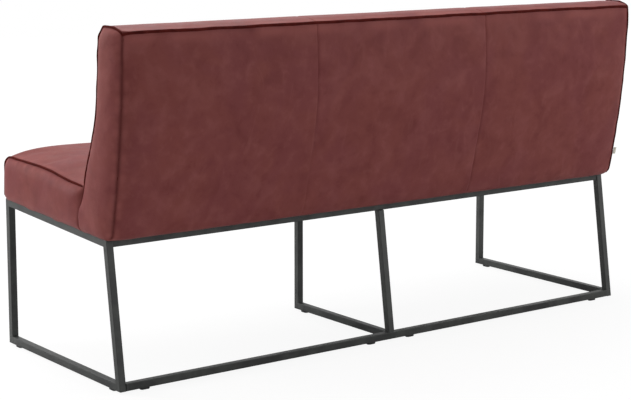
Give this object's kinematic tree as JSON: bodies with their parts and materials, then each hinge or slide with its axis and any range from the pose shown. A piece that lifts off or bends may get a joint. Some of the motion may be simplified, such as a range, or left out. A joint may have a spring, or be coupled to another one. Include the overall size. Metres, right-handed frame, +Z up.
{
  "type": "dining bench",
  "caption": "Upholstered dining bench with a backrest, wine-red leather-look cover with dark welts, on a black square-tube sled frame.",
  "frame": {"origin": "centre of the bench's outline on the floor, under the glides", "axes": "+Z up, +X along the length to the sitter's left, -Y the way the sitter faces"},
  "size_m": [1.6575, 0.6145, 0.8578],
  "materials": {
    "frame_coat": "satin black powder coat",
    "cover_leather": "matte, cloudy vintage leather look in wine red",
    "welt_leather": "matte dark brown red",
    "board_wood": "raw plywood",
    "foam": "open-cell foam",
    "lining_cloth": "black non-woven lining",
    "glide_plastic": "matte black",
    "zinc_steel": "zinc plated",
    "tag_cloth": "off-white woven tape, blank"
  },
  "bodies": {
    "root": {"back_brackets": "zinc_steel", "back_foam": "foam", "back_front_board": "board_wood", "back_front_cover_left": "cover_leather", "back_front_cover_middle": "cover_leather", "back_front_cover_right": "cover_leather", "back_rear_board": "board_wood", "back_rear_cover_left": "cover_leather", "back_rear_cover_middle": "cover_leather", "back_rear_cover_right": "cover_leather", "back_rear_pad": "foam", "back_top_rail": "board_wood", "back_top_welt": "welt_leather", "bracket_screws": "zinc_steel", "front_top_rail": "frame_coat", "left_back_end_panel": "cover_leather", "left_back_welt": "welt_leather", "left_end_rib": "board_wood", "left_front_leg": "frame_coat", "left_glide_front": "glide_plastic", "left_glide_rear": "glide_plastic", "left_inner_rib": "board_wood", "left_rear_leg": "frame_coat", "left_runner": "frame_coat", "left_seat_end_panel": "cover_leather", "left_seat_welt": "welt_leather", "left_top_rail": "frame_coat", "middle_cross_rail": "frame_coat", "middle_front_leg": "frame_coat", "middle_glide_front": "glide_plastic", "middle_rear_leg": "frame_coat", "middle_runner": "frame_coat", "rail_glide_left": "glide_plastic", "rail_glide_left_inner": "glide_plastic", "rail_glide_right": "glide_plastic", "rail_glide_right_inner": "glide_plastic", "rear_floor_rail": "frame_coat", "rear_top_rail": "frame_coat", "right_back_end_panel": "cover_leather", "right_back_welt": "welt_leather", "right_end_rib": "board_wood", "right_front_leg": "frame_coat", "right_glide_front": "glide_plastic", "right_glide_rear": "glide_plastic", "right_inner_rib": "board_wood", "right_rear_leg": "frame_coat", "right_runner": "frame_coat", "right_seat_end_panel": "cover_leather", "right_seat_welt": "welt_leather", "right_top_rail": "frame_coat", "seat_board": "board_wood", "seat_bolts": "zinc_steel", "seat_cover_left": "cover_leather", "seat_cover_middle": "cover_leather", "seat_cover_right": "cover_leather", "seat_foam": "foam", "seat_lining": "lining_cloth", "seat_tabs": "frame_coat", "seat_tee_nuts": "zinc_steel", "side_tag": "tag_cloth"}
  },
  "joints": []
}
